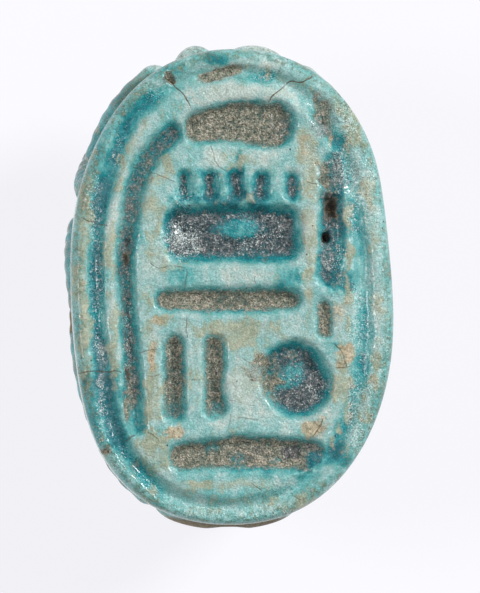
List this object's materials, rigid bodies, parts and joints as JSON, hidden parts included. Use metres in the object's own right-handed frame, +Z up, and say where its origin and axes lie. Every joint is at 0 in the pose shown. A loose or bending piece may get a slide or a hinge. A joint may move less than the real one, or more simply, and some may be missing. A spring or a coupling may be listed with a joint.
{
  "type": "scarab amulet",
  "caption": "Carved and glazed scarab amulet, pierced lengthwise for a string, lying on its domed back with its engraved oval base face up.",
  "frame": {"origin": "middle of the base outline, on the surface that the worn crown of the back lies on", "axes": "+Z up, out of the engraved base face; +Y from the tail to the head; +X to the right, seen from above with the head away"},
  "size_m": [0.011, 0.0166, 0.007],
  "materials": {
    "glaze": "worn turquoise glaze, pooled darker in the carving, with a sandy brown deposit in the deepest strokes"
  },
  "bodies": {
    "root": {"scarab": "glaze"}
  },
  "joints": []
}
